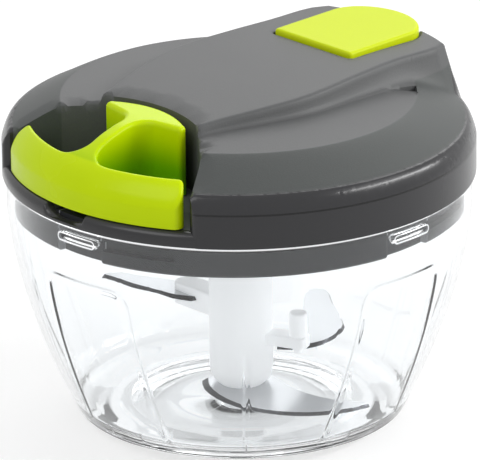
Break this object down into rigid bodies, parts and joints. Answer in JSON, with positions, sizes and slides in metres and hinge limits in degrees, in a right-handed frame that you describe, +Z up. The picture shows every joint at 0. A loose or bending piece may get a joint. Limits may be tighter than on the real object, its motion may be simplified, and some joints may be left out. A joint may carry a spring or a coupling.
{
  "type": "manual food chopper",
  "caption": "Pull-cord hand food chopper with a clear flared bowl, three steel blades on a white column, a dark grey lid, a lime pull handle and a lime release button",
  "frame": {"origin": "on the bowl axis, at the plane the foot stands on", "axes": "+Z up along the bowl axis, pull handle toward -Y, release button toward +Y"},
  "size_m": [0.132, 0.1318, 0.1032],
  "materials": {
    "clear_plastic": "clear moulded plastic, polished",
    "dark_grey_plastic": "fine matte top, glossy rim",
    "black_silicone": "soft silicone",
    "lime_plastic": "glossy moulded plastic",
    "pale_lime_plastic": "satin moulded plastic",
    "white_plastic": "satin moulded plastic",
    "blade_steel": "polished stainless steel",
    "spring_steel": "bright spring steel",
    "white_cord": "braided cord"
  },
  "bodies": {
    "bowl_body": {"bowl": "clear_plastic", "pivot_pin": "blade_steel"},
    "blade_unit": {"blade_spindle": "white_plastic", "spindle_foot": "white_plastic", "lower_blade": "blade_steel", "middle_blade": "blade_steel", "upper_blade": "blade_steel"},
    "seal": {"lid_gasket": "black_silicone"},
    "lid": {"lid_cover": "dark_grey_plastic", "lid_base": "dark_grey_plastic", "cover_screw_1": "blade_steel", "cover_screw_2": "blade_steel", "cover_screw_3": "blade_steel", "cover_screw_4": "blade_steel", "reel_axle": "blade_steel", "recoil_spring": "spring_steel", "cord_winding": "white_cord", "cord_guide": "blade_steel", "button_pin": "blade_steel", "button_spring": "spring_steel"},
    "drive": {"drive_hub": "white_plastic", "hub_clip": "spring_steel", "clutch_plate": "white_plastic", "clutch_spring": "spring_steel"},
    "reel_unit": {"reel": "white_plastic", "spring_cover": "white_plastic"},
    "handle": {"pull_handle": "lime_plastic", "cord_end": "white_cord"},
    "button": {"release_button": "pale_lime_plastic"}
  },
  "joints": [
    {"name": "lid_lift", "type": "slide", "parent": "bowl_body", "child": "seal", "axis": [0, 0, 1], "range_m": [0, 0.12]},
    {"name": "lid_turn", "type": "hinge", "parent": "seal", "child": "lid", "pos_m": [0, 0, 0.0713], "axis": [0, 0, 1], "range_deg": [-20, 0]},
    {"name": "handle_pull", "type": "slide", "parent": "lid", "child": "handle", "axis": [0, -1, 0], "range_m": [0, 0.3], "stiffness_N_per_m": 12, "springref_m": -0.2},
    {"name": "reel_spin", "type": "hinge", "parent": "lid", "child": "reel_unit", "pos_m": [0, 0, 0.0854], "axis": [0, 0, 1], "range_deg": [-910, 0]},
    {"name": "drive_spin", "type": "hinge", "parent": "lid", "child": "drive", "pos_m": [0, 0, 0.0754], "axis": [0, 0, 1], "range_deg": [-910, 0]},
    {"name": "blade_spin", "type": "hinge", "parent": "bowl_body", "child": "blade_unit", "pos_m": [0, 0, 0.008], "axis": [0, 0, 1], "range_deg": [-910, 0]},
    {"name": "button_press", "type": "hinge", "parent": "lid", "child": "button", "pos_m": [0, 0.046, 0.0992], "axis": [1, 0, 0], "range_deg": [0, 8], "stiffness_Nm_per_rad": 0.4, "springref_deg": -5.73, "deforming": ["button_spring"]}
  ],
  "couplings": [
    {"joint": "reel_spin", "follows": "handle_pull", "rad_per_m": -52.7},
    {"joint": "drive_spin", "follows": "handle_pull", "rad_per_m": -52.7},
    {"joint": "blade_spin", "follows": "handle_pull", "rad_per_m": -52.7}
  ]
}
